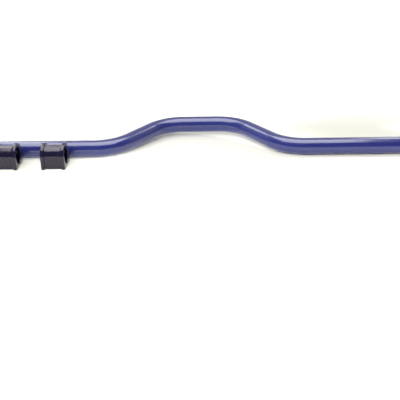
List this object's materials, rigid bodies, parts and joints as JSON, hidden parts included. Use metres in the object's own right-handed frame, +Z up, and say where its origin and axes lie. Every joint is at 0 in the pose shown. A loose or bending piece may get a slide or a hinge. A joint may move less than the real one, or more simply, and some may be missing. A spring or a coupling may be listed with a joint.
{
  "type": "sway bar",
  "caption": "Round spring-steel sway bar, blue coated, with a cranked centre hump, swept-back arms, forged flat eyes and loose split D-shaped bushings.",
  "frame": {"origin": "on the table, in the middle of the footprint of the bar and its loose bushings", "axes": "+X along the straight torsion sections, +Y the way the arms and the hump point, +Z up off the table"},
  "size_m": [0.9434, 0.3208, 0.0487],
  "materials": {
    "bar_coating": "gloss powder coat",
    "bushing_polyurethane": "moulded polyurethane, semi-gloss"
  },
  "bodies": {
    "bar_body": {"bar": "bar_coating"},
    "left_bushing_body": {"left_bushing": "bushing_polyurethane"},
    "right_bushing_body": {"right_bushing": "bushing_polyurethane"}
  },
  "joints": [
    {"name": "left_bushing_lift", "type": "slide", "parent": "bar_body", "child": "left_bushing_body", "axis": [0, 0, 1], "range_m": [0, 0.12]},
    {"name": "right_bushing_lift", "type": "slide", "parent": "bar_body", "child": "right_bushing_body", "axis": [0, 0, 1], "range_m": [0, 0.12]}
  ]
}
